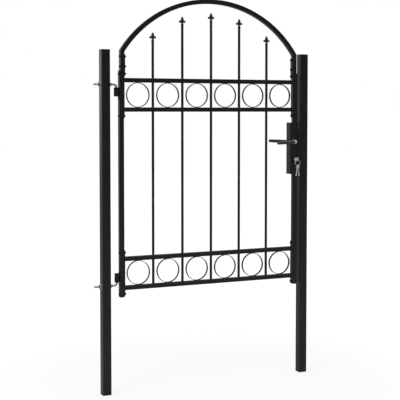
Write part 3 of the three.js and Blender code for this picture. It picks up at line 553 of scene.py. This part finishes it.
def studio_world():
    """White to the camera; reflections see a dark room, a paler wall behind on the left with
    a tall window in it, and a bright ceiling."""
    world = bpy.data.worlds.new("studio")
    bpy.context.scene.world = world
    world.use_nodes = True
    tree = world.node_tree
    tree.nodes.clear()
    path = tree.nodes.new("ShaderNodeLightPath")
    direction = tree.nodes.new("ShaderNodeTexCoord").outputs["Generated"]

    def level(strength):
        background = tree.nodes.new("ShaderNodeBackground")
        background.inputs["Color"].default_value = (1, 1, 1, 1)
        background.inputs["Strength"].default_value = strength
        return background.outputs[0]

    def mix(factor, low, high):
        node = tree.nodes.new("ShaderNodeMixShader")
        tree.links.new(factor, node.inputs[0])
        tree.links.new(low, node.inputs[1])
        tree.links.new(high, node.inputs[2])
        return node.outputs[0]

    def towards(axis, start, end):
        """Goes from 0 to 1 as the cosine of the angle to the axis goes from start to end."""
        dot = tree.nodes.new("ShaderNodeVectorMath")
        dot.operation = "DOT_PRODUCT"
        dot.inputs[1].default_value = Vector(axis).normalized()
        tree.links.new(direction, dot.inputs[0])
        lobe = tree.nodes.new("ShaderNodeMapRange")
        lobe.interpolation_type = "SMOOTHSTEP"
        lobe.inputs["From Min"].default_value = start
        lobe.inputs["From Max"].default_value = end
        tree.links.new(dot.outputs["Value"], lobe.inputs["Value"])
        return lobe.outputs["Result"]

    in_window = towards((-0.14, 0.99, 0), 0.92, 0.975)
    above_sill = towards(UP, -0.05, 0.03)
    on_wall = towards((-0.77, 0.64, 0.1), 0.66, 0.88)
    on_ceiling = towards(UP, 0.5, 0.95)
    window = tree.nodes.new("ShaderNodeMath")
    window.operation = "MULTIPLY"
    tree.links.new(in_window, window.inputs[0])
    tree.links.new(above_sill, window.inputs[1])
    room = mix(on_wall, level(ROOM), level(WALL))
    lit_room = mix(window.outputs[0], room, level(WINDOW))
    reflected = mix(on_ceiling, lit_room, level(CEILING))
    scattered = mix(path.outputs["Is Glossy Ray"], level(SCATTERED), reflected)
    shown = mix(path.outputs["Is Camera Ray"], scattered, level(BACKDROP))
    output = tree.nodes.new("ShaderNodeOutputWorld")
    tree.links.new(shown, output.inputs["Surface"])


FLOOR_REACH = 14.0
FLOOR_TONE = (0.9, 0.9, 0.9, 1)
FLOOR_TONE_REFLECTED = (0.65, 0.65, 0.65, 1)
FLOOR_GLOW = 1.06  # brightness of the white that the floor fades into
FADE_FROM, FADE_TO = 0.5, 1.9  # metres from the middle of the gate's base
FADE_LEAST, FADE_MOST = 0.8, 1.0  # share of that white at these distances


def floor():
    """A pale floor that fades into the white background but keeps the posts' soft shadows."""
    mesh = bpy.data.meshes.new("floor")
    ends = ((-1, -1), (1, -1), (1, 1), (-1, 1))
    mesh.from_pydata([(x * FLOOR_REACH, y * FLOOR_REACH, 0) for x, y in ends], [], [(0, 1, 2, 3)])
    plane = bpy.data.objects.new("floor", mesh)
    bpy.context.collection.objects.link(plane)
    material = bpy.data.materials.new("pale_floor")
    material.use_nodes = True
    tree = material.node_tree
    tree.nodes.clear()
    path = tree.nodes.new("ShaderNodeLightPath")
    tone = tree.nodes.new("ShaderNodeMix")
    tone.data_type = "RGBA"
    tone.inputs["A"].default_value = FLOOR_TONE
    tone.inputs["B"].default_value = FLOOR_TONE_REFLECTED
    tree.links.new(path.outputs["Is Glossy Ray"], tone.inputs["Factor"])
    matt = tree.nodes.new("ShaderNodeBsdfDiffuse")
    tree.links.new(tone.outputs["Result"], matt.inputs["Color"])
    white = tree.nodes.new("ShaderNodeEmission")
    white.inputs["Strength"].default_value = FLOOR_GLOW
    place = tree.nodes.new("ShaderNodeTexCoord").outputs["Object"]
    distance = tree.nodes.new("ShaderNodeVectorMath")
    distance.operation = "LENGTH"
    tree.links.new(place, distance.inputs[0])
    fade = tree.nodes.new("ShaderNodeMapRange")
    fade.interpolation_type = "SMOOTHSTEP"
    fade.inputs["From Min"].default_value = FADE_FROM
    fade.inputs["From Max"].default_value = FADE_TO
    fade.inputs["To Min"].default_value = FADE_LEAST
    fade.inputs["To Max"].default_value = FADE_MOST
    tree.links.new(distance.outputs["Value"], fade.inputs["Value"])
    share = tree.nodes.new("ShaderNodeMath")
    share.operation = "MULTIPLY"
    tree.links.new(path.outputs["Is Camera Ray"], share.inputs[0])
    tree.links.new(fade.outputs["Result"], share.inputs[1])
    blend = tree.nodes.new("ShaderNodeMixShader")
    tree.links.new(share.outputs[0], blend.inputs[0])
    tree.links.new(matt.outputs[0], blend.inputs[1])
    tree.links.new(white.outputs[0], blend.inputs[2])
    output = tree.nodes.new("ShaderNodeOutputMaterial")
    tree.links.new(blend.outputs[0], output.inputs["Surface"])
    mesh.materials.append(material)


def softbox(name, place, target, size, power):
    """A rectangular lamp of `power` watts that faces the target."""
    light = bpy.data.lights.new(name, "AREA")
    light.shape = "RECTANGLE"
    light.size, light.size_y = size
    light.energy = power
    box = bpy.data.objects.new(name, light)
    bpy.context.collection.objects.link(box)
    box.location = place
    box.rotation_euler = (Vector(target) - Vector(place)).to_track_quat("-Z", "Y").to_euler()


def camera():
    """The photograph's view, but with less shift than it has, so that other views keep the arch."""
    lens = bpy.data.cameras.new("camera")
    lens.sensor_width = 36
    lens.lens = 95.3
    lens.shift_y = -0.08
    lens.clip_end = 60
    body = bpy.data.objects.new("camera", lens)
    bpy.context.collection.objects.link(body)
    body.location = (-2.1129, -4.4406, 1.2765)
    down, right = 3.076, 25.164  # degrees from level and from straight ahead
    body.rotation_euler = (math.radians(90 - down), 0, math.radians(-right))
    bpy.context.scene.camera = body


finish_nodes()
bright_hub("front_lever")
bright_hub("back_lever")
threaded_hook_bolt("upper_hook_bolt", hook_up=False)
threaded_hook_bolt("lower_hook_bolt", hook_up=True)
for bolt_side in ("hinge_side", "lock_side"):
    for bolt_number in range(1, BOLTS_PER_SIDE + 1):
        frame_bolt(bolt_side, bolt_number)
leaf_welds()
keep_welds()
lever_collar("front_lever", outward=-1)
lever_collar("back_lever", outward=1)
studio_world()
floor()
softbox("key_light", (-3.2, -1.6, 3.4), target=(0, 0, 1.1), size=(1.6, 2.2), power=60)
softbox("fill_light", (4.2, -1.6, 2.6), target=(0, 0, 0.9), size=(2.0, 2.0), power=12)
camera()
bpy.context.scene.view_settings.view_transform = "Standard"
